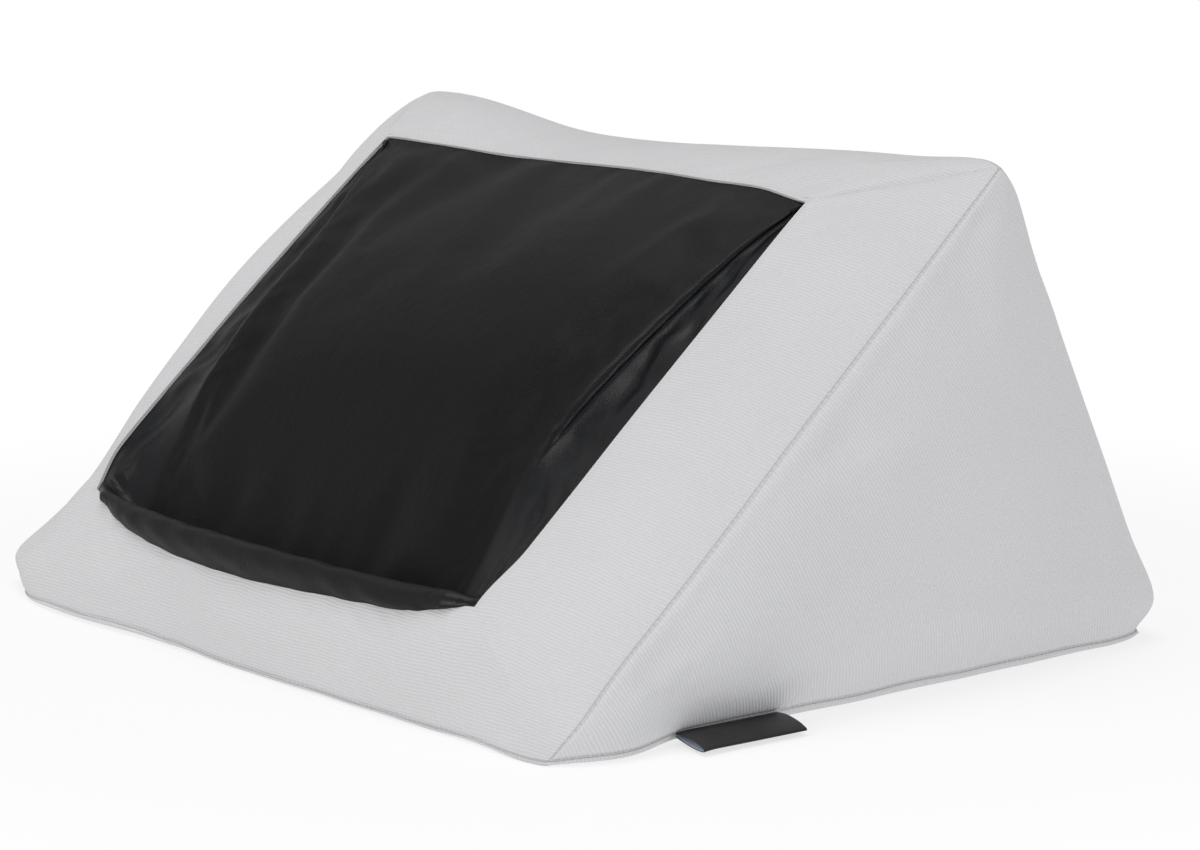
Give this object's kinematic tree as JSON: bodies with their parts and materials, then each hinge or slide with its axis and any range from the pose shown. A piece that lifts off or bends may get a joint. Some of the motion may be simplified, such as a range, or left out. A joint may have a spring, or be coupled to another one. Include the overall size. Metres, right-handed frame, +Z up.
{
  "type": "tablet cushion stand",
  "caption": "Wedge-shaped bead-filled cushion with a black leathercloth pocket, padded back and lip in its sloping front, to lean a tablet or a book on",
  "frame": {"origin": "middle of the base on the floor", "axes": "+X along the ridge to the side with the label, +Y from the front slope to the rear, +Z up"},
  "size_m": [0.3884, 0.293, 0.1829],
  "materials": {
    "grey_cloth": "light grey fine-rib cloth",
    "filling": "light foam beads",
    "leathercloth": "soft black leathercloth with a low sheen",
    "padding": "white soft padding",
    "ribbon": "black satin ribbon, bare",
    "zip_tape": "woven grey tape",
    "zip_coil": "grey nylon coil",
    "zip_metal": "nickel-coloured metal"
  },
  "bodies": {
    "cushion": {"front_panel": "grey_cloth", "rear_panel": "grey_cloth", "left_side_panel": "grey_cloth", "right_side_panel": "grey_cloth", "base_panel": "grey_cloth", "bead_filling": "filling", "pocket_lip": "leathercloth", "pocket_back_panel": "leathercloth", "pocket_left_gusset": "leathercloth", "pocket_right_gusset": "leathercloth", "lip_roll": "padding", "pocket_pad": "padding", "side_label": "ribbon", "zip_lower_tape": "zip_tape", "zip_upper_tape": "zip_tape", "zip_lower_coil": "zip_coil", "zip_upper_coil": "zip_coil", "zip_start_stop": "zip_metal", "zip_end_stop": "zip_metal"},
    "slider": {"zip_slider": "zip_metal"},
    "pull": {"zip_pull": "zip_metal"}
  },
  "joints": [
    {"name": "zip_slide", "type": "slide", "parent": "cushion", "child": "slider", "axis": [-1, 0, 0], "range_m": [0, 0.2132]},
    {"name": "pull_hinge", "type": "hinge", "parent": "slider", "child": "pull", "pos_m": [0.1066, 0.13475, 0.04865], "axis": [0, 0.4186, -0.9082], "range_deg": [0, 180]}
  ]
}
